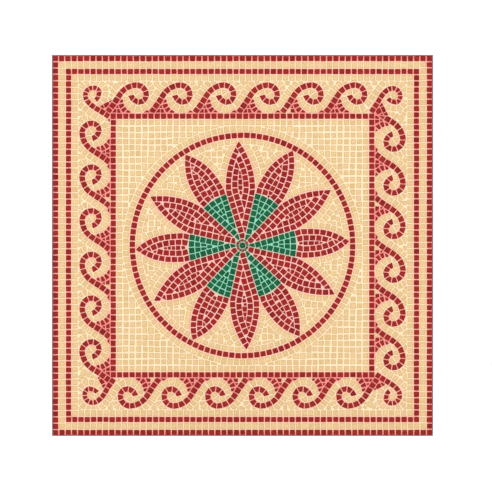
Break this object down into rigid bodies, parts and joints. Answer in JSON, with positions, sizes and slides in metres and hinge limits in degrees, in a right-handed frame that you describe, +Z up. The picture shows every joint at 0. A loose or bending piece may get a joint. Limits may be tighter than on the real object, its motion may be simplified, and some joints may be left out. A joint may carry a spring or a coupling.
{
  "type": "mosaic panel",
  "caption": "Square marble mosaic wall panel on a backing board: a running-wave border round a circle with a petalled rosette, in red, cream and green stone.",
  "frame": {"origin": "centre of the backing board's back face, where the panel is bonded to a wall", "axes": "+Z up, +X to the right as the face is seen, the face looks along -Y and the wall is on the +Y side"},
  "size_m": [0.7204, 0.02, 0.7204],
  "materials": {
    "red_marble": "honed red marble, cut by hand",
    "cream_marble": "honed cream marble, cut by hand",
    "green_marble": "honed green marble, cut by hand",
    "grout": "pale cream cement grout, matt",
    "edging": "mid-grey anodised, satin",
    "board": "grey fibre-cement board, matt"
  },
  "bodies": {
    "root": {"backing_board": "board", "centre_stone": "green_marble", "circle_line": "red_marble", "corner_field_bottom_left": "cream_marble", "corner_field_bottom_right": "cream_marble", "corner_field_top_left": "cream_marble", "corner_field_top_right": "cream_marble", "cream_row_bottom": "cream_marble", "cream_row_left": "cream_marble", "cream_row_right": "cream_marble", "cream_row_top": "cream_marble", "edging_bottom": "edging", "edging_left": "edging", "edging_right": "edging", "edging_top": "edging", "green_petal_base_1": "green_marble", "green_petal_base_2": "green_marble", "green_petal_base_3": "green_marble", "green_petal_base_4": "green_marble", "green_petal_base_5": "green_marble", "green_petal_base_6": "green_marble", "green_petal_tip_1": "red_marble", "green_petal_tip_2": "red_marble", "green_petal_tip_3": "red_marble", "green_petal_tip_4": "red_marble", "green_petal_tip_5": "red_marble", "green_petal_tip_6": "red_marble", "inner_red_row_bottom": "red_marble", "inner_red_row_left": "red_marble", "inner_red_row_right": "red_marble", "inner_red_row_top": "red_marble", "outer_red_row_bottom": "red_marble", "outer_red_row_left": "red_marble", "outer_red_row_right": "red_marble", "outer_red_row_top": "red_marble", "petal_gap_1": "cream_marble", "petal_gap_10": "cream_marble", "petal_gap_11": "cream_marble", "petal_gap_12": "cream_marble", "petal_gap_2": "cream_marble", "petal_gap_3": "cream_marble", "petal_gap_4": "cream_marble", "petal_gap_5": "cream_marble", "petal_gap_6": "cream_marble", "petal_gap_7": "cream_marble", "petal_gap_8": "cream_marble", "petal_gap_9": "cream_marble", "red_petal_1": "red_marble", "red_petal_2": "red_marble", "red_petal_3": "red_marble", "red_petal_4": "red_marble", "red_petal_5": "red_marble", "red_petal_6": "red_marble", "running_wave": "red_marble", "setting_bed": "grout", "wave_field": "cream_marble"}
  },
  "joints": []
}
